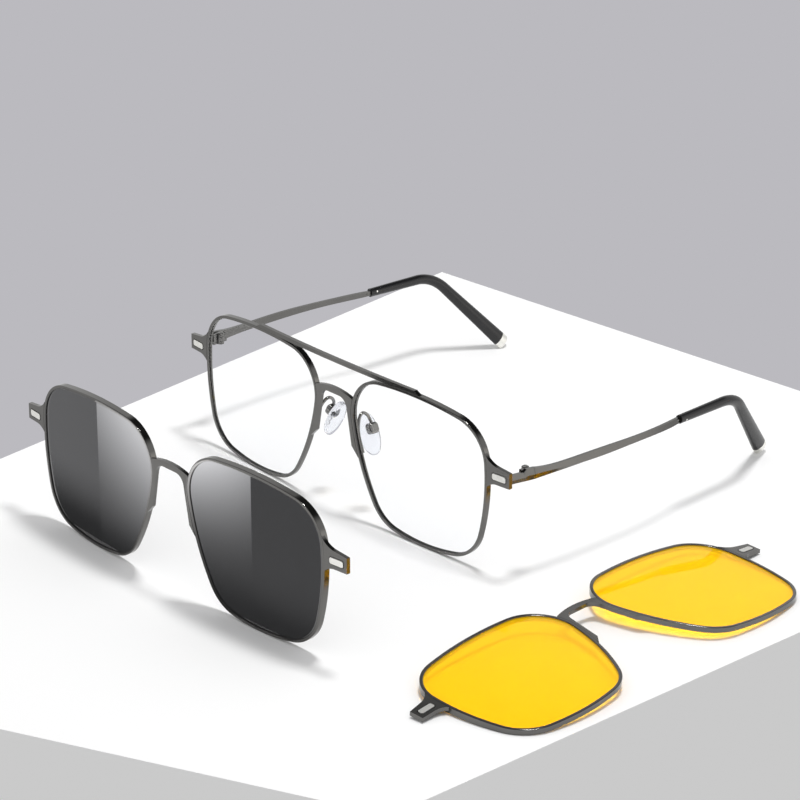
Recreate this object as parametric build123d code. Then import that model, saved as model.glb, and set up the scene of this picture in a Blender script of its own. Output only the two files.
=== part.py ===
from build123d import *
import math
import os

# Lens openings, shared by the glasses and both clips. Lengths are in millimetres.
# The rims stand on the table at height zero, and the fronts face towards minus Y.
lens_width = 53.2
lens_height = 45.4
bridge_gap = 17.2
corner_shares = ((-0.015, -0.055), (0.970, -0.075), (0.918, -0.929), (0.230, -0.951))
bulge_shares = (0.064, 0.062, 0.060, 0.077)
corner_radius_share = 0.27

# Rims and lenses
rim_width = 1.0
rim_depth = 1.6
clip_rim_depth = 1.85
rim_back_lean = 0.7
face_radius = 680.0
groove_depth = 0.4
groove_front = 0.35
lens_thickness = 0.6
lens_fit = 0.03
front_edge_round = 0.18

# Saddle bridge and the strips down the nasal sides of the rims
bridge_depth = 1.2
bridge_under_share = 0.795
bridge_height = 2.0
bridge_crown = 1.3
bridge_corner = 3.4
strip_top_half = 5.25
strip_foot_half = 7.9
strip_foot_share = 0.48
strip_step = 3.6
clip_strip_cut = 0.4

# Brow bar across the tops of the glasses' rims
bar_height = 1.3
bar_rise = 1.1
bar_half_length = 34.4
bar_end_taper = 1.8
bar_depth = 1.2

# End pieces and lugs, with their silver inserts and magnets
lug_height_share = 0.667
lug_height = 4.7
lug_reach = 8.3
lug_thickness = 1.2
lug_straight = 4.6
lug_flare_up = 3.6
lug_flare_down = 5.0
lug_top_slope = 0.7
insert_length = 5.0
insert_height = 1.9
insert_round = 0.6
insert_end_margin = 1.3
insert_seat = 0.55
insert_proud = 0.1
insert_groove = 0.25
magnet_length = 3.8
magnet_height = 1.2
magnet_thickness = 0.5
magnet_fit = 0.02
clip_magnet_back = 1.9

# Bar that bends back from each end piece and rises to the hinge, and the ridge along its side
bar_inset = 0.3
bar_front_height = 2.65
bar_step_start = 4.2
bar_step_end = 3.0
bar_fall_share = 0.117
arm_thickness = 1.5
arm_height = 3.5
hinge_setback = 10.6
hinge_drop = 0.7
ridge_share = 0.45
ridge_slant_up = 0.5
ridge_slant_down = 0.25
butt_gap = 0.12

# Hinge of three knuckles on one screw
pin_inset = 1.3
pin_ahead = 1.35
knuckle_radius = 1.1
knuckle_gap = 0.08
leaf_thickness = 1.1
leaf_length = 2.6
tongue_height = 1.3
sweep_clearance = 0.25
screw_radius = 0.5
screw_fit = 0.04
screw_head_radius = 0.85
screw_head_height = 0.2
screw_slot_width = 0.25
screw_slot_depth = 0.12
pad_screw_slot_depth = 0.15

# Temple arm: stations behind the hinge line, with its height, thickness, drop and outward bow there
arm_neck = 6.0
arm_neck_height = 2.5
arm_neck_thickness = 1.4
arm_neck_drop = 1.0
arm_neck_bow = 0.6
arm_ridge = 20.0
arm_ridge_height = 2.3
arm_ridge_thickness = 1.3
arm_ridge_drop = 1.2
arm_ridge_bow = 1.2
arm_middle = 36.0
arm_middle_height = 2.0
arm_middle_thickness = 1.2
arm_middle_drop = 1.6
arm_middle_bow = 1.1
arm_waist = 49.0
arm_waist_height = 1.8
arm_waist_thickness = 1.25
arm_waist_drop = 2.1
arm_waist_bow = 0.3
sleeve_start = 61.2
arm_end_height = 1.5
arm_end_thickness = 1.3
arm_end_drop = 2.4
arm_end_bow = -1.4
ridge_end_share = 0.06
core_radius = 0.6

# Black tip sleeve: the corner of its bend and its end, from the sleeve's start
bend_inward = 1.4
bend_back = 25.7
bend_drop = 0.5
tip_inward = 11.3
tip_back = 49.3
tip_height = 1.33
bend_radius = 14.0
sleeve_start_width = 2.6
sleeve_start_depth = 2.8
sleeve_bend_width = 3.0
sleeve_bend_depth = 3.3
sleeve_end_width = 3.0
sleeve_end_depth = 5.0
bend_share = 0.42
sleeve_steps = 8
core_root = 1.5
core_fit = 0.05
core_end_margin = 12.0
cap_thickness = 2.6
cap_round = 0.6
tip_pin_radius = 0.3
tip_pin_setback = 2.2
tip_pin_fit = 0.02

# Nose pads, their boxes and their bent wire arms
pad_across = 7.7
pad_back = 7.4
pad_height = 24.5
pad_flare = 26.0
pad_splay = 2.0
pad_length = 13.2
pad_width = 6.9
pad_thickness = 2.0
box_offset = 1.4
box_size = 3.4
box_depth = 2.2
box_wall = 0.45
box_gap = 0.4
box_round = 1.1
box_end_round = 0.6
pad_round = 0.8
post_width = 1.7
post_radius = 0.7
post_end_gap = 0.25
pad_screw_radius = 0.4
pad_screw_fit = 0.04
wire_radius = 0.5
wire_seat = 0.15
wire_foot_across = 11.0
wire_foot_height = 21.0
wire_bend_across = 9.0
wire_bend_height = 28.0
wire_top_across = 7.7
wire_top_back = 4.6
wire_top_height = 31.9

# Layout of the set: the grey clip stands ahead of the glasses, the yellow one lies beside them
dark_clip_across = 10.1
dark_clip_ahead = 69.9
yellow_clip_across = 117.5
yellow_clip_back = 0.0
yellow_clip_turn = 94.0
yellow_clip_tilt = 2.95

# One overrun for all cuts that go right through
overrun = 20.0

# Values that follow from the sizes above
opening_top = rim_width + lens_height
opening_middle = rim_width + lens_height / 2
lug_middle = rim_width + lug_height_share * lens_height
rim_outer = bridge_gap / 2 + lens_width + rim_width
lug_end = rim_outer + lug_reach


def sag(across):
    """How far the curved front falls back at a distance from its middle."""
    return face_radius - math.sqrt(face_radius**2 - across**2)


def eye_outline(grow):
    """Front view of the right lens opening, grown by a width."""
    corners = []
    for across_share, up_share in corner_shares:
        corners.append((bridge_gap / 2 + across_share * lens_width, opening_top + up_share * lens_height))
    sides = []
    for index, bulge in enumerate(bulge_shares):
        start = corners[index]
        end = corners[(index + 1) % len(corners)]
        sides.append(SagittaArc(start, end, bulge * lens_height))
    outline = make_face(sides)
    outline = fillet(outline.vertices(), corner_radius_share * lens_height)
    if grow:
        grown = offset(outline, grow).edges()
        outline = make_face([ThreePointArc(edge @ 0, edge @ 0.5, edge @ 1) for edge in grown])
    return outline


def curved(outline, front, back, lean=0):
    """Solid of a front view between two depths behind the curved front; its back can lean out at the top."""
    block = extrude(Plane.XZ * outline, overrun, both=True)
    centre = Pos(0, face_radius, opening_middle)
    outer = centre * Cylinder(face_radius - front, overrun * overrun)
    inner_radius = (face_radius - back) * math.cos(math.radians(lean))
    inner = centre * Rot(-lean, 0, 0) * Cylinder(inner_radius, overrun * overrun)
    return (block & outer) - inner


def mirrored(shape):
    """The same piece on the left side."""
    return mirror(shape, Plane.YZ)


def depth_of(point):
    """How far a point lies behind the curved front surface."""
    return face_radius - math.hypot(point.X, point.Y - face_radius)


def rim(depth):
    """Right rim: a ring with rounded front edges and a groove inside that holds the lens."""
    ring = curved(eye_outline(rim_width) - eye_outline(0), 0, depth, rim_back_lean)
    front_edges = [edge for edge in ring.edges() if abs(depth_of(edge @ 0.5)) < front_edge_round / 10]
    ring = fillet(front_edges, front_edge_round)
    groove_back = groove_front + lens_thickness + 2 * lens_fit
    return ring - curved(eye_outline(groove_depth), groove_front, groove_back)


def lens():
    """Right lens: a thin curved plate whose edge sits in the rim's groove."""
    front = groove_front + lens_fit
    return curved(eye_outline(groove_depth - lens_fit), front, front + lens_thickness)


def saddle_bridge(strip_cut):
    """Bridge between the rims, with a strip down the nasal side of each and a step at its foot."""
    under = rim_width + bridge_under_share * lens_height
    foot = rim_width + strip_foot_share * lens_height
    top_half = bridge_gap / 2 - rim_width / 2
    top_side = under + bridge_height - bridge_crown
    step_foot = foot - strip_step - rim_width / 2
    step_half = strip_foot_half + strip_step + rim_width / 2
    inner_top = strip_top_half + strip_cut
    inner_foot = strip_foot_half + strip_cut
    right = [(top_half, top_side), (step_half, step_foot), (inner_foot, foot), (inner_top, under)]
    left = [(-across, up) for across, up in reversed(right)]
    crown = ThreePointArc((-top_half, top_side), (0, under + bridge_height), (top_half, top_side))
    outline = make_face([crown, *Polyline(right + left).edges()])
    corners = [v for v in outline.vertices() if abs(v.Y - under) < rim_width / 10]
    outline = fillet(corners, bridge_corner)
    eye = eye_outline(rim_width)
    return curved(outline - eye - mirrored(eye), 0, bridge_depth)


def brow_bar():
    """Straight bar across the tops of the two rims, tapering out on them at its ends."""
    top = opening_top + rim_width + bar_rise
    tip = bar_half_length + bar_end_taper
    lower = top - bar_height
    points = [(-bar_half_length, top), (bar_half_length, top), (tip, top - bar_rise), (tip, lower)]
    points += [(-tip, lower), (-tip, top - bar_rise), (-bar_half_length, top)]
    eye = eye_outline(rim_width)
    return curved(make_face(Polyline(points)) - eye - mirrored(eye), 0, bar_depth)


def lug():
    """Right lug: a flat plate that flares out of the temple side of the rim."""
    top = lug_middle + lug_height / 2
    bottom = lug_middle - lug_height / 2
    straight = lug_end - lug_straight
    root = rim_outer - rim_width - groove_depth
    inside = rim_outer - lens_width / 2
    shoulder = top + lug_top_slope
    high = shoulder + lug_flare_up
    low = bottom - lug_flare_down
    upper = TangentArc((straight, shoulder), (root, high), tangent=(-lug_straight, lug_top_slope))
    lower = TangentArc((straight, bottom), (root, low), tangent=(-1, 0))
    end = Polyline((straight, shoulder), (lug_end, top), (lug_end, bottom), (straight, bottom))
    within = Polyline((root, high), (inside, high), (inside, low), (root, low))
    outline = make_face([upper, *end.edges(), lower, *within.edges()])
    return curved(outline - eye_outline(rim_width), 0, lug_thickness)


def insert_place():
    """Front view place of the middle of an insert."""
    return Pos(lug_end - insert_end_margin - insert_length / 2, lug_middle)


def insert_outline(grow):
    """Front view of the silver insert, grown by a width."""
    return insert_place() * RectangleRounded(insert_length + 2 * grow, insert_height + 2 * grow, insert_round + grow)


def magnet_outline(grow):
    """Front view of the magnet behind the insert, grown by a width."""
    return insert_place() * Rectangle(magnet_length + 2 * grow, magnet_height + 2 * grow)


def insert_pockets(magnet_back):
    """Recess for the insert, and behind it the recess for its magnet."""
    seat = curved(insert_outline(insert_groove), -insert_groove, insert_seat)
    return seat + curved(magnet_outline(magnet_fit), 0, magnet_back + magnet_fit)


def insert():
    """Silver insert, standing a little proud in its recess."""
    return curved(insert_outline(0), -insert_proud, insert_seat)


def magnet(back):
    """Magnet behind the insert, up to a depth."""
    return curved(magnet_outline(0), insert_seat + magnet_fit, back)


# Hinge places that follow from the sizes above
end_magnet_back = insert_seat + magnet_thickness
arm_outside = lug_end - bar_inset
arm_inside = arm_outside - arm_thickness
hinge_line = sag(lug_end) + hinge_setback
pin_across = arm_inside - pin_inset
pin_back = hinge_line - pin_ahead
hinge_bottom = lug_middle - hinge_drop - arm_height / 2
knuckle_height = (arm_height - 2 * knuckle_gap - tongue_height) / 2
tongue_bottom = hinge_bottom + knuckle_height + knuckle_gap


def arm_section(plane, height, thickness, ridge):
    """Cross section of the arm, flat inside, with a ridge at a share of its outer side."""
    inside = -thickness / 2
    bottom = -height / 2
    slant = thickness / arm_thickness
    points = [
        (inside, bottom),
        (-inside - slant * ridge_slant_down, bottom),
        (-inside, bottom + ridge * height),
        (-inside - slant * ridge_slant_up, -bottom),
        (inside, -bottom),
        (inside, bottom),
    ]
    return plane * make_face(Polyline(points))


def arm_plane(behind, thickness, drop, bow=0):
    """Upright plane across the arm, at a distance behind the hinge line."""
    middle = (arm_outside - thickness / 2 + bow, hinge_line + behind, lug_middle - drop)
    return Plane(origin=middle, x_dir=(1, 0, 0), z_dir=(0, -1, 0))


def end_piece():
    """Right end piece: the lug's plate and the bar that bends back from it to the hinge line."""
    stations = [
        (lug_thickness / 2 - hinge_setback, bar_front_height),
        (-bar_step_start, bar_front_height),
        (-bar_step_end, arm_height),
        (-butt_gap / 2, arm_height),
    ]
    sections = []
    for behind, height in stations:
        drop = hinge_drop + (arm_height - height) / 2 + bar_fall_share * behind
        sections.append(arm_section(arm_plane(behind, arm_thickness, drop), height, arm_thickness, ridge_share))
    in_front = curved(Pos(lug_end, lug_middle) * Rectangle(overrun, overrun), -overrun, lug_thickness / 2)
    return lug() + (loft(sections, ruled=True) - in_front) - insert_pockets(end_magnet_back)


def knuckle(bottom, height):
    """One barrel of the hinge on the screw's axis."""
    return Pos(pin_across, pin_back, bottom + height / 2) * Cylinder(knuckle_radius, height)


def block(low, high):
    """Box between two corners."""
    size = [b - a for a, b in zip(low, high)]
    middle = [(a + b) / 2 for a, b in zip(low, high)]
    return Pos(*middle) * Box(*size)


def screw_bore():
    """Hole for the hinge screw through all three knuckles."""
    return Pos(pin_across, pin_back, hinge_bottom + arm_height / 2) * Cylinder(screw_radius + screw_fit, overrun)


def hinge_front():
    """Front half of the right hinge: a leaf on the inside of the end piece, with two knuckles."""
    leaf_in = arm_inside - leaf_thickness
    top = hinge_bottom + arm_height
    leaf = block((leaf_in, pin_back - leaf_length, hinge_bottom), (arm_inside, pin_back, top))
    barrels = knuckle(hinge_bottom, knuckle_height) + knuckle(top - knuckle_height, knuckle_height)
    reach = knuckle_radius + sweep_clearance
    slot = block(
        (pin_across - overrun, pin_back - reach, tongue_bottom - knuckle_gap),
        (arm_inside, pin_back + overrun, tongue_bottom + tongue_height + knuckle_gap),
    )
    return leaf + barrels - slot - screw_bore()


def hinge_tongue():
    """Rear half of the right hinge: a leaf on the inside of the arm, with the middle knuckle."""
    leaf_in = arm_inside - leaf_thickness
    start = hinge_line + butt_gap / 2
    low = lug_middle - arm_ridge_drop - arm_ridge_height / 2
    high = lug_middle - arm_neck_drop + arm_neck_height / 2
    leaf = block((leaf_in, start, low), (arm_inside, pin_back + leaf_length, high))
    neck_out = pin_across + knuckle_radius
    neck = block((pin_across, pin_back, tongue_bottom), (neck_out, start, tongue_bottom + tongue_height))
    return leaf + neck + knuckle(tongue_bottom, tongue_height) - screw_bore()


def hinge_screw():
    """Right hinge screw, with a low slotted head."""
    top = hinge_bottom + arm_height
    shank = Pos(pin_across, pin_back, hinge_bottom + arm_height / 2) * Cylinder(screw_radius, arm_height)
    head = Pos(pin_across, pin_back, top + screw_head_height / 2) * Cylinder(screw_head_radius, screw_head_height)
    slot_middle = top + screw_head_height - screw_slot_depth / 2
    slot = Pos(pin_across, pin_back, slot_middle) * Box(2 * screw_head_radius, screw_slot_width, screw_slot_depth)
    return shank + head - slot


def tip_corners():
    """Start of the sleeve, the corner of its bend and its end."""
    start = arm_plane(sleeve_start, arm_end_thickness, arm_end_drop, arm_end_bow).origin
    corner = start + Vector(-bend_inward, bend_back, -bend_drop)
    end = Vector(start.X - tip_inward, start.Y + tip_back, tip_height)
    return start, corner, end


def tip_path(before, short):
    """Bent line of the sleeve, starting a length before it and stopping a length short of its end."""
    start, corner, end = tip_corners()
    first = start - (corner - start).normalized() * before
    last = end - (end - corner).normalized() * short
    return FilletPolyline(first, corner, last, radius=bend_radius)


def tip_plane(path, share):
    """Plane across the sleeve, its X axis square to the plane of the bend."""
    start, corner, end = tip_corners()
    side = (end - corner).cross(corner - start)
    return Plane(origin=path @ share, x_dir=side, z_dir=path % share)


def between(share, first, middle, last):
    """Size at a share of the sleeve, from its sizes at the start, the bend and the end."""
    if share < bend_share:
        return first + (middle - first) * share / bend_share
    return middle + (last - middle) * (share - bend_share) / (1 - bend_share)


def core_solid(radius, short):
    """Round bar along the middle of the sleeve."""
    path = tip_path(core_root, short)
    return sweep(Plane(origin=path @ 0, z_dir=path % 0) * Circle(radius), path)


def tip_pin_bar(radius, length):
    """Bar across the start of the sleeve, for its pin or the pin's hole."""
    path = tip_path(-tip_pin_setback, 0)
    return Plane(origin=path @ 0, z_dir=tip_plane(path, 0).x_dir) * Cylinder(radius, length)


def temple_arm():
    """Right temple arm, flat at the hinge and thinning to the wire that runs on inside the sleeve."""
    sizes = [
        (butt_gap / 2, hinge_drop, 0, arm_height, arm_thickness, ridge_share),
        (arm_neck, arm_neck_drop, arm_neck_bow, arm_neck_height, arm_neck_thickness, ridge_share),
        (arm_ridge, arm_ridge_drop, arm_ridge_bow, arm_ridge_height, arm_ridge_thickness, ridge_end_share),
        (arm_middle, arm_middle_drop, arm_middle_bow, arm_middle_height, arm_middle_thickness, ridge_end_share),
        (arm_waist, arm_waist_drop, arm_waist_bow, arm_waist_height, arm_waist_thickness, ridge_end_share),
    ]
    sections = []
    for behind, drop, bow, height, thickness, ridge in sizes:
        sections.append(arm_section(arm_plane(behind, thickness, drop, bow), height, thickness, ridge))
    path = tip_path(0, 0)
    end = Plane(origin=path @ 0, x_dir=(1, 0, 0), z_dir=-(path % 0))
    sections.append(arm_section(end, arm_end_height, arm_end_thickness, ridge_end_share))
    core = core_solid(core_radius, core_end_margin)
    return loft(sections) + core - tip_pin_bar(tip_pin_radius + tip_pin_fit, overrun)


def tip_sleeve():
    """Black sleeve over the end of the right temple, with the bend that goes behind the ear."""
    path = tip_path(0, cap_thickness)
    sections = []
    for step in range(sleeve_steps + 1):
        share = step / sleeve_steps
        width = between(share, sleeve_start_width, sleeve_bend_width, sleeve_end_width)
        depth = between(share, sleeve_start_depth, sleeve_bend_depth, sleeve_end_depth)
        sections.append(tip_plane(path, share) * Ellipse(width / 2, depth / 2))
    bent = sweep(sections, path, multisection=True)
    sleeve = bent - core_solid(core_radius + core_fit, core_end_margin - core_fit)
    return sleeve - tip_pin_bar(tip_pin_radius + tip_pin_fit, overrun)


def tip_cap():
    """Silver cap on the end of the sleeve."""
    path = tip_path(0, cap_thickness)
    face = tip_plane(path, 1) * Ellipse(sleeve_end_width / 2, sleeve_end_depth / 2)
    cap = extrude(face, cap_thickness, dir=path % 1)
    last = cap.faces().sort_by_distance(path @ 1)[-1]
    return fillet(last.edges(), cap_round)


def tip_pin():
    """Small pin that keeps the sleeve on the wire."""
    return tip_pin_bar(tip_pin_radius, sleeve_start_width)


# Screw axis of the pad box, in the pad's own frame: X to the temple, Z along the pad
box_front = pad_thickness / 2 + box_gap
box_back = box_front + box_depth
post_end = box_back - box_wall - post_end_gap
pad_pin_across = post_end - post_radius


def pad_place():
    """Where the right nose pad's own frame stands."""
    return Pos(pad_across, pad_back, pad_height) * Rot(0, 0, -pad_splay) * Rot(0, -pad_flare, 0)


def pad_pin_bar(radius, length):
    """Bar along the pad's screw, for the screw or its hole."""
    return Pos(pad_pin_across, 0, box_offset) * Rot(90, 0, 0) * Cylinder(radius, length)


def nose_pad():
    """Right nose pad: a soft oval plate with the post that sits in the box."""
    plate = extrude(Plane.YZ * Ellipse(pad_width / 2, pad_length / 2), pad_thickness / 2, both=True)
    plate = fillet(plate.edges(), pad_round)
    low = (0, -post_width / 2, box_offset - post_radius)
    post = block(low, (pad_pin_across, post_width / 2, box_offset + post_radius))
    post = post + pad_pin_bar(post_radius, post_width)
    return pad_place() * (plate + post - pad_pin_bar(pad_screw_radius + pad_screw_fit, overrun))


def pad_box():
    """Metal cup that holds the post of the right nose pad."""
    middle = Pos((box_front + box_back) / 2, 0, box_offset)
    cup = middle * Box(box_depth, box_size, box_size)
    cup = fillet(cup.edges().filter_by(Axis.X), box_round)
    cup = fillet(cup.faces().sort_by(Axis.X)[-1].edges(), box_end_round)
    hollow = box_size - 2 * box_wall
    cup = cup - Pos(-box_wall, 0, 0) * middle * Box(box_depth, hollow, hollow)
    return pad_place() * (cup - pad_pin_bar(pad_screw_radius + pad_screw_fit, overrun))


def pad_screw():
    """Small screw across the right pad box, with a slot in its front end."""
    end = Pos(pad_pin_across, -box_size / 2, box_offset)
    slot = end * Box(2 * pad_screw_radius, 2 * pad_screw_slot_depth, screw_slot_width)
    return pad_place() * (pad_pin_bar(pad_screw_radius, box_size) - slot)


def pad_arm():
    """Bent wire that is soldered up the back of the right rim and loops over to the pad box."""
    top_of_box = pad_place() * Pos((box_front + box_back) / 2, 0, box_offset + box_size / 2)
    down = -Plane(top_of_box).z_dir
    behind = rim_depth + wire_radius - wire_seat
    foot = Vector(wire_foot_across, behind, wire_foot_height)
    bend = Vector(wire_bend_across, behind, wire_bend_height)
    top = (wire_top_across, wire_top_back, wire_top_height)
    path = Spline(foot, bend, top, top_of_box.position, tangents=[bend - foot, down])
    wire = sweep(Plane(origin=foot, z_dir=bend - foot) * Circle(wire_radius), path)
    return wire - curved(eye_outline(rim_width), 0, rim_depth, rim_back_lean)


def clip():
    """One clip, in the place of the glasses' front."""
    right = {
        "rim": rim(clip_rim_depth),
        "lug": lug() - insert_pockets(clip_magnet_back),
        "insert": insert(),
        "magnet": magnet(clip_magnet_back),
        "lens": lens(),
    }
    pieces = {"bridge": saddle_bridge(clip_strip_cut)}
    for name, shape in right.items():
        pieces["right_" + name] = shape
        pieces["left_" + name] = mirrored(shape)
    return pieces


# The glasses
nodes = {"brow_bar": brow_bar(), "saddle_bridge": saddle_bridge(0)}
glasses_right = {
    "rim": rim(rim_depth),
    "end_piece": end_piece(),
    "end_insert": insert(),
    "end_magnet": magnet(end_magnet_back),
    "clear_lens": lens(),
    "hinge_front": hinge_front(),
    "hinge_screw": hinge_screw(),
    "hinge_tongue": hinge_tongue(),
    "temple_arm": temple_arm(),
    "tip_sleeve": tip_sleeve(),
    "tip_cap": tip_cap(),
    "tip_pin": tip_pin(),
    "pad_arm": pad_arm(),
    "pad_box": pad_box(),
    "pad_screw": pad_screw(),
    "nose_pad": nose_pad(),
}
for name, shape in glasses_right.items():
    nodes["right_" + name] = shape
    nodes["left_" + name] = mirrored(shape)
table = nodes["right_rim"].bounding_box().min.Z

# The grey clip stands on its rims ahead of the glasses
spare = clip()
for name, shape in spare.items():
    nodes["dark_clip_" + name] = Pos(dark_clip_across, -dark_clip_ahead, 0) * shape

# The yellow clip lies on its back beside them, on its magnets and the lower corners of its rims
lying = Rot(yellow_clip_tilt - 90, 0, 0) * Pos(0, 0, -opening_middle)
lowest = (lying * (spare["right_rim"] + spare["right_magnet"])).bounding_box().min.Z
lying = Pos(yellow_clip_across, yellow_clip_back, table - lowest) * Rot(0, 0, yellow_clip_turn) * lying
for name, shape in spare.items():
    nodes["yellow_clip_" + name] = lying * shape

# The frame's origin is on the table, under the middle of the whole set
boxes = [shape.bounding_box() for shape in nodes.values()]
middle_across = (min(box.min.X for box in boxes) + max(box.max.X for box in boxes)) / 2
middle_back = (min(box.min.Y for box in boxes) + max(box.max.Y for box in boxes)) / 2
to_frame = Pos(-middle_across, -middle_back, -min(box.min.Z for box in boxes))

os.makedirs("parts", exist_ok=True)
for name, shape in nodes.items():
    export_step(to_frame * shape, "parts/" + name + ".step")
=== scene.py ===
import math

import bpy
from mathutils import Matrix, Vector

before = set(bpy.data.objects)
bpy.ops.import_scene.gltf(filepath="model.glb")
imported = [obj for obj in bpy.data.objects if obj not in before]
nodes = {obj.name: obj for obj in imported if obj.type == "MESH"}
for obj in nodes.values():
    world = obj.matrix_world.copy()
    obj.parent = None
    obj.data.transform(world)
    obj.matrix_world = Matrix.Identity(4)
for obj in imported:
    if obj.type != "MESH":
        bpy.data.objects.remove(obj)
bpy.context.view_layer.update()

# The view. The set is seen from above its right front corner, as in the photograph.
# Places on the table are in millimetres from the middle of the glasses' bridge.
MM = 0.001
bridge_middle = Vector((-35.8895, -27.4391, 0.0258))


def place(across, back, up=0.0):
    """A point of the glasses' own frame, in metres of the scene."""
    return (Vector((across, back, up)) + bridge_middle) * MM


view_turn = math.radians(47.868)
view_rise = math.radians(23.25)
view_distance = 1065.16 * MM
view_target = place(-9.34, 34.95, 21.91)
away = Vector((
    math.sin(view_turn) * math.cos(view_rise),
    -math.cos(view_turn) * math.cos(view_rise),
    math.sin(view_rise),
))
camera = bpy.data.objects.new("camera", bpy.data.cameras.new("camera"))
camera.data.lens = 157.48
camera.data.clip_start = 0.01
camera.data.clip_end = 50
camera.location = view_target + away * view_distance
camera.rotation_euler = away.to_track_quat("Z", "Y").to_euler()
bpy.context.collection.objects.link(camera)
bpy.context.scene.camera = camera
bpy.context.scene.view_settings.view_transform = "Standard"

# The metal frames: rims, brow bar, bridges, end pieces, lugs, hinges and temple arms. They are thin
# sheet and wire of one alloy, cut, bent and soldered, then plated gunmetal with a satin finish.
# That gives a soft grey sheen with a fine grain and faint clouds.
sides = ("left", "right")
clips = ("dark_clip", "yellow_clip")
gunmetal_grain = 0.11 * MM
gunmetal_cloud = 8.3 * MM


def linear(hex_colour, alpha=1.0):
    """An sRGB hex colour as the linear values that Blender's nodes take."""
    channels = []
    for start in (1, 3, 5):
        value = int(hex_colour[start:start + 2], 16) / 255
        channels.append(value / 12.92 if value <= 0.04045 else ((value + 0.055) / 1.055) ** 2.4)
    return (*channels, alpha)


def add(material, kind, inputs=None, **settings):
    """Adds one node. An input is a value, or another node's output socket to link from."""
    made = material.node_tree.nodes.new(kind)
    for name, value in settings.items():
        setattr(made, name, value)
    for name, value in (inputs or {}).items():
        if isinstance(value, bpy.types.NodeSocket):
            material.node_tree.links.new(value, made.inputs[name])
        else:
            made.inputs[name].default_value = value
    return made


def new_material(name):
    """An empty node material."""
    material = bpy.data.materials.new(name)
    material.use_nodes = True
    material.node_tree.nodes.clear()
    return material


def dress(material, names):
    """Gives CAD nodes their finish."""
    for name in names:
        mesh = nodes[name].data
        mesh.materials.clear()
        mesh.materials.append(material)


gunmetal = new_material("gunmetal_plated_alloy")
spot = add(gunmetal, "ShaderNodeTexCoord").outputs["Object"]
grain = add(gunmetal, "ShaderNodeTexNoise", {
    "Vector": spot, "Scale": 1 / gunmetal_grain, "Detail": 2.0}).outputs["Fac"]
cloud = add(gunmetal, "ShaderNodeTexNoise", {
    "Vector": spot, "Scale": 1 / gunmetal_cloud, "Detail": 3.0}).outputs["Fac"]
tone = add(gunmetal, "ShaderNodeMix", {
    "Factor": cloud, "A": linear("#646361"), "B": linear("#737270")}, data_type="RGBA").outputs["Result"]
gloss = add(gunmetal, "ShaderNodeMapRange", {
    "Value": grain, "To Min": 0.1, "To Max": 0.18}).outputs["Result"]
relief = add(gunmetal, "ShaderNodeBump", {
    "Height": grain, "Strength": 0.04, "Distance": 0.02 * MM}).outputs["Normal"]
metal = add(gunmetal, "ShaderNodeBsdfPrincipled", {
    "Base Color": tone, "Metallic": 1.0, "Roughness": gloss, "Normal": relief}).outputs["BSDF"]
add(gunmetal, "ShaderNodeOutputMaterial", {"Surface": metal})

metal_pieces = ["brow_bar", "saddle_bridge"]
for side in sides:
    for piece in ("rim", "end_piece", "temple_arm", "hinge_front", "hinge_tongue"):
        metal_pieces.append(f"{side}_{piece}")
for clip in clips:
    metal_pieces.append(f"{clip}_bridge")
    for side in sides:
        metal_pieces += [f"{clip}_{side}_rim", f"{clip}_{side}_lug"]
dress(gunmetal, metal_pieces)

# The small polished pieces: bent wires, boxes and screws of the nose pads, and the hinge screws.
# They are steel, tumbled bright and plated dark, so they mirror the room with slight smears.
steel_smear = 1.4 * MM
steel = new_material("polished_dark_steel")
spot = add(steel, "ShaderNodeTexCoord").outputs["Object"]
smear = add(steel, "ShaderNodeTexNoise", {
    "Vector": spot, "Scale": 1 / steel_smear, "Detail": 3.0}).outputs["Fac"]
tone = add(steel, "ShaderNodeMix", {
    "Factor": smear, "A": linear("#868583"), "B": linear("#92918f")}, data_type="RGBA").outputs["Result"]
gloss = add(steel, "ShaderNodeMapRange", {
    "Value": smear, "To Min": 0.1, "To Max": 0.2}).outputs["Result"]
metal = add(steel, "ShaderNodeBsdfPrincipled", {
    "Base Color": tone, "Metallic": 1.0, "Roughness": gloss}).outputs["BSDF"]
add(steel, "ShaderNodeOutputMaterial", {"Surface": metal})
for side in sides:
    dress(steel, [f"{side}_{piece}" for piece in ("hinge_screw", "pad_arm", "pad_box", "pad_screw")])

# The silver inserts, with the magnets sealed in behind them, and the caps and pins of the black
# sleeves. They are plated satin silver: pale, with a fine blasted grain that spreads the light.
silver_grain = 0.17 * MM
silver = new_material("satin_silver_plate")
spot = add(silver, "ShaderNodeTexCoord").outputs["Object"]
grain = add(silver, "ShaderNodeTexNoise", {
    "Vector": spot, "Scale": 1 / silver_grain, "Detail": 2.0}).outputs["Fac"]
tone = add(silver, "ShaderNodeMix", {
    "Factor": grain, "A": linear("#ebeae5"), "B": linear("#f5f4ef")}, data_type="RGBA").outputs["Result"]
gloss = add(silver, "ShaderNodeMapRange", {
    "Value": grain, "To Min": 0.3, "To Max": 0.42}).outputs["Result"]
relief = add(silver, "ShaderNodeBump", {
    "Height": grain, "Strength": 0.03, "Distance": 0.02 * MM}).outputs["Normal"]
metal = add(silver, "ShaderNodeBsdfPrincipled", {
    "Base Color": tone, "Metallic": 1.0, "Roughness": gloss, "Normal": relief}).outputs["BSDF"]
add(silver, "ShaderNodeOutputMaterial", {"Surface": metal})
for side in sides:
    dress(silver, [f"{side}_{piece}" for piece in ("end_insert", "end_magnet", "tip_cap", "tip_pin")])
    for clip in clips:
        dress(silver, [f"{clip}_{side}_insert", f"{clip}_{side}_magnet"])

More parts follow.
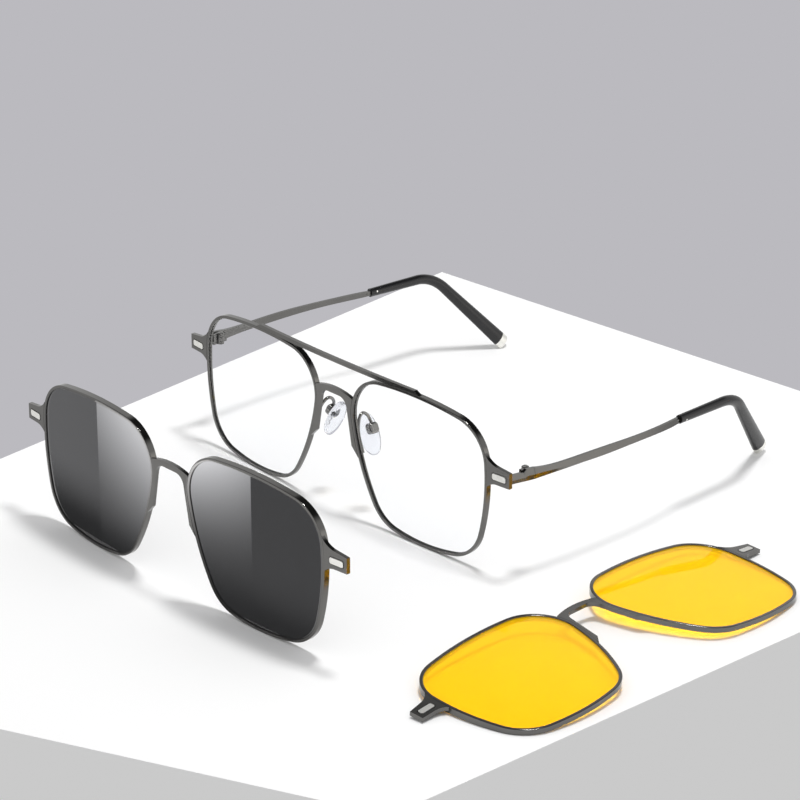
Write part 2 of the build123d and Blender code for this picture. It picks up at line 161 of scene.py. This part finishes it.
# The tip sleeves, moulded in black acetate over the temples' wires and polished.
# They give a deep black with a soft, slightly uneven shine.
acetate_smear = 3.3 * MM
acetate = new_material("black_acetate")
spot = add(acetate, "ShaderNodeTexCoord").outputs["Object"]
smear = add(acetate, "ShaderNodeTexNoise", {
    "Vector": spot, "Scale": 1 / acetate_smear, "Detail": 3.0}).outputs["Fac"]
tone = add(acetate, "ShaderNodeMix", {
    "Factor": smear, "A": linear("#121214"), "B": linear("#161618")}, data_type="RGBA").outputs["Result"]
gloss = add(acetate, "ShaderNodeMapRange", {
    "Value": smear, "To Min": 0.2, "To Max": 0.3}).outputs["Result"]
plastic = add(acetate, "ShaderNodeBsdfPrincipled", {
    "Base Color": tone, "Roughness": gloss, "IOR": 1.5}).outputs["BSDF"]
add(acetate, "ShaderNodeOutputMaterial", {"Surface": plastic})
dress(acetate, [f"{side}_tip_sleeve" for side in sides])

# The clear lenses of the glasses, cast in resin, polished and sprung into the grooves of the rims.
# Their coat against glare takes most of the shine away, so they hardly show.
resin_haze = 12.0 * MM


def resin_material(name, tints, light_below, clearness, ior):
    """A polished resin with a faint haze in its tint. Light through it is tinted, not blocked."""
    resin = new_material(name)
    spot = add(resin, "ShaderNodeTexCoord").outputs["Object"]
    haze = add(resin, "ShaderNodeTexNoise", {
        "Vector": spot, "Scale": 1 / resin_haze, "Detail": 2.0}).outputs["Fac"]
    tint = add(resin, "ShaderNodeMix", {
        "Factor": haze, "A": linear(tints[0]), "B": linear(tints[1])}, data_type="RGBA").outputs["Result"]
    polish = add(resin, "ShaderNodeMapRange", {
        "Value": haze, "To Min": 0.015, "To Max": 0.025}).outputs["Result"]
    body = add(resin, "ShaderNodeBsdfPrincipled", {
        "Base Color": tint, "Roughness": polish, "IOR": ior,
        "Transmission Weight": clearness}).outputs["BSDF"]
    through = add(resin, "ShaderNodeBsdfTransparent", {"Color": linear(light_below)}).outputs["BSDF"]
    shadow_ray = add(resin, "ShaderNodeLightPath").outputs["Is Shadow Ray"]
    either = add(resin, "ShaderNodeMixShader", {0: shadow_ray, 1: body, 2: through}).outputs["Shader"]
    add(resin, "ShaderNodeOutputMaterial", {"Surface": either})
    return resin


clear_lens = resin_material("coated_clear_lens_resin", ("#fdfeff", "#ffffff"), "#f6f6f6", 1.0, 1.12)
dress(clear_lens, [f"{side}_clear_lens" for side in sides])

# The grey lenses of the standing clip: polarised resin, nearly black, under a mirror coat.
# The coat's strong shine is given by a high IOR, and it shows the soft panels of the studio.
grey_lens = resin_material("mirror_coated_grey_lens", ("#101112", "#141516"), "#8a8a8c", 0.0, 2.2)
dress(grey_lens, [f"dark_clip_{side}_lens" for side in sides])

# The yellow lenses of the lying clip: resin dyed right through, with a weak shine.
# They look deep yellow, and the light that falls through them is a brighter yellow.
yellow_lens = resin_material("dyed_yellow_lens_resin", ("#ffda1c", "#ffd614"), "#ffe56c", 0.6, 1.22)
dress(yellow_lens, [f"yellow_clip_{side}_lens" for side in sides])

# The nose pads, moulded in clear silicone around the posts that hold them in their boxes.
# They are a little milky and cool in tone, and soft in their shine.
silicone = resin_material("clear_silicone", ("#f4f6fb", "#f8faff"), "#f5f3ef", 0.9, 1.2)
dress(silicone, [f"{side}_nose_pad" for side in sides])

# The stage under the set: a thick white board with four uneven sides, coated matt.
# Its front corner and two of its sides show. The paper's grain is too faint to see from here.
board_corners = [(-121.5, 156.2), (-76.4, -209.9), (147.1, -109.8), (149.2, 179.7)]
board_height = 80.0
paper_grain = 0.6 * MM


def stage_piece(name, points, faces, material):
    """A piece of the stage, from its points and faces."""
    mesh = bpy.data.meshes.new(name)
    mesh.from_pydata(points, [], faces)
    mesh.materials.append(material)
    piece = bpy.data.objects.new(name, mesh)
    bpy.context.collection.objects.link(piece)


paper = new_material("white_coated_board")
spot = add(paper, "ShaderNodeTexCoord").outputs["Object"]
grain = add(paper, "ShaderNodeTexNoise", {
    "Vector": spot, "Scale": 1 / paper_grain, "Detail": 2.0}).outputs["Fac"]
tone = add(paper, "ShaderNodeMix", {
    "Factor": grain, "A": linear("#f5f5f5"), "B": linear("#f7f7f7")}, data_type="RGBA").outputs["Result"]
white = add(paper, "ShaderNodeBsdfPrincipled", {
    "Base Color": tone, "Roughness": 0.8, "Specular IOR Level": 0.0}).outputs["BSDF"]
add(paper, "ShaderNodeOutputMaterial", {"Surface": white})
board_points = []
for depth in (0.0, -board_height):
    for across, back in board_corners:
        corner = place(across, back)
        board_points.append((corner.x, corner.y, depth * MM))
board_faces = [(0, 1, 2, 3)] + [(k, k + 4, (k + 1) % 4 + 4, (k + 1) % 4) for k in range(4)]
stage_piece("board", board_points, board_faces, paper)

# What the grey lenses mirror at rest: one soft panel ahead of each, in the lens's own shape and seen
# by mirrored rays only. Its nose half is bright at the top and fades downwards, its other half is
# dim, with an upright edge between them, and both are darkest along the foot.
panel_way = Vector((-0.68, -0.62, -0.39))
panel_distance = 5.0 * MM
panel_middle = 0.5
panel_foot_share = 0.55
panel_looks = {
    "left": {"nose": 1.0, "falloff": 1.65, "across": 0.45, "bright": 4.0, "low": 0.2, "high": 0.6},
    "right": {"nose": 0.0, "falloff": 3.1, "across": 0.36, "bright": 5.1, "low": 0.26, "high": 0.34},
}
for side, look in panel_looks.items():
    panel = new_material(f"{side}_soft_panel")
    spot = add(panel, "ShaderNodeTexCoord").outputs["Generated"]
    shares = add(panel, "ShaderNodeSeparateXYZ", {"Vector": spot}).outputs
    towards_nose = add(panel, "ShaderNodeMapRange", {
        "Value": shares["X"], "From Min": panel_middle, "From Max": look["nose"],
        "To Min": look["across"], "To Max": 1.0}).outputs["Result"]
    fade = add(panel, "ShaderNodeMath", {
        0: shares["Z"], 1: look["falloff"]}, operation="POWER").outputs["Value"]
    bright = add(panel, "ShaderNodeMath", {0: fade, 1: towards_nose}, operation="MULTIPLY").outputs["Value"]
    foot = add(panel, "ShaderNodeMapRange", {
        "Value": shares["Z"], "From Min": 0.05, "From Max": 0.35,
        "To Min": look["low"] * panel_foot_share, "To Max": look["low"],
    }, interpolation_type="SMOOTHSTEP").outputs["Result"]
    nose_half = add(panel, "ShaderNodeMath", {
        0: bright, 1: look["bright"], 2: foot}, operation="MULTIPLY_ADD").outputs["Value"]
    dim_half = add(panel, "ShaderNodeMapRange", {
        "Value": shares["Z"], "From Min": 0.1, "From Max": 0.5, "To Min": foot, "To Max": look["high"],
    }, interpolation_type="SMOOTHSTEP").outputs["Result"]
    on_nose_half = add(panel, "ShaderNodeMath", {
        0: shares["X"], 1: panel_middle},
        operation="GREATER_THAN" if look["nose"] > panel_middle else "LESS_THAN").outputs["Value"]
    level = add(panel, "ShaderNodeMix", {
        "Factor": on_nose_half, "A": dim_half, "B": nose_half}).outputs["Result"]
    glow = add(panel, "ShaderNodeEmission", {
        "Color": linear("#fcfcff"), "Strength": level}).outputs["Emission"]
    unseen = add(panel, "ShaderNodeBsdfTransparent").outputs["BSDF"]
    mirrored_ray = add(panel, "ShaderNodeLightPath").outputs["Is Glossy Ray"]
    seen = add(panel, "ShaderNodeMixShader", {0: mirrored_ray, 1: unseen, 2: glow}).outputs["Shader"]
    add(panel, "ShaderNodeOutputMaterial", {"Surface": seen})
    lens = nodes[f"dark_clip_{side}_lens"].data
    panel_points = [tuple(vertex.co + panel_way * panel_distance) for vertex in lens.vertices]
    panel_faces = [tuple(face.vertices) for face in lens.polygons]
    stage_piece(f"{side}_panel", panel_points, panel_faces, panel)

# The studio around it: a plain grey backdrop to the eye, and even soft light on the set. In the
# mirror of the metal it is a room that is pale low down and dark overhead, with one bright screen
# at the right back.
room_low = (0.54, "#e4e4e4")
room_high = (0.7, "#2a2a2a")
screen_way = (0.79, 0.62, 0.0)
screen_strength = 0.6
soft_strength = 0.64
world = bpy.data.worlds.new("studio")
bpy.context.scene.world = world
world.use_nodes = True
world.node_tree.nodes.clear()
rays = add(world, "ShaderNodeLightPath").outputs
direction = add(world, "ShaderNodeTexCoord").outputs["Generated"]
rise = add(world, "ShaderNodeSeparateXYZ", {"Vector": direction}).outputs["Z"]
room = add(world, "ShaderNodeValToRGB", {"Fac": rise})
for stop, (height, colour) in zip(room.color_ramp.elements, (room_low, room_high)):
    stop.position = height
    stop.color = linear(colour)
room_light = add(world, "ShaderNodeBackground", {"Color": room.outputs["Color"]}).outputs["Background"]
facing = add(world, "ShaderNodeVectorMath", {
    0: direction, 1: screen_way}, operation="DOT_PRODUCT").outputs["Value"]
screen = add(world, "ShaderNodeMapRange", {
    "Value": facing, "From Min": 0.95, "From Max": 0.98, "To Max": screen_strength}).outputs["Result"]
screen_light = add(world, "ShaderNodeBackground", {
    "Color": linear("#fffaf2"), "Strength": screen}).outputs["Background"]
mirrored = add(world, "ShaderNodeAddShader", {0: room_light, 1: screen_light}).outputs["Shader"]
soft = add(world, "ShaderNodeBackground", {
    "Color": linear("#ffffff"), "Strength": soft_strength}).outputs["Background"]
lit = add(world, "ShaderNodeMixShader", {
    0: rays["Is Glossy Ray"], 1: soft, 2: mirrored}).outputs["Shader"]
backdrop = add(world, "ShaderNodeBackground", {"Color": linear("#bbbabf")}).outputs["Background"]
straight_ray = add(world, "ShaderNodeMath", {
    0: rays["Is Camera Ray"], 1: rays["Is Transmission Ray"]}, operation="MAXIMUM").outputs["Value"]
studio = add(world, "ShaderNodeMixShader", {0: straight_ray, 1: lit, 2: backdrop}).outputs["Shader"]
add(world, "ShaderNodeOutputWorld", {"Surface": studio})

# The key lamp: a small soft box high over the right of the set. It throws the long, soft-edged
# shadows towards the left front of the board.
key = bpy.data.lights.new("key", "AREA")
key.shape = "SQUARE"
key.size = 110 * MM
key.energy = 2.7
key_lamp = bpy.data.objects.new("key", key)
key_lamp.location = place(77.0, 68.0, 708.0)
key_lamp.rotation_euler = (key_lamp.location - place(0.0, 0.0)).to_track_quat("Z", "Y").to_euler()
bpy.context.collection.objects.link(key_lamp)
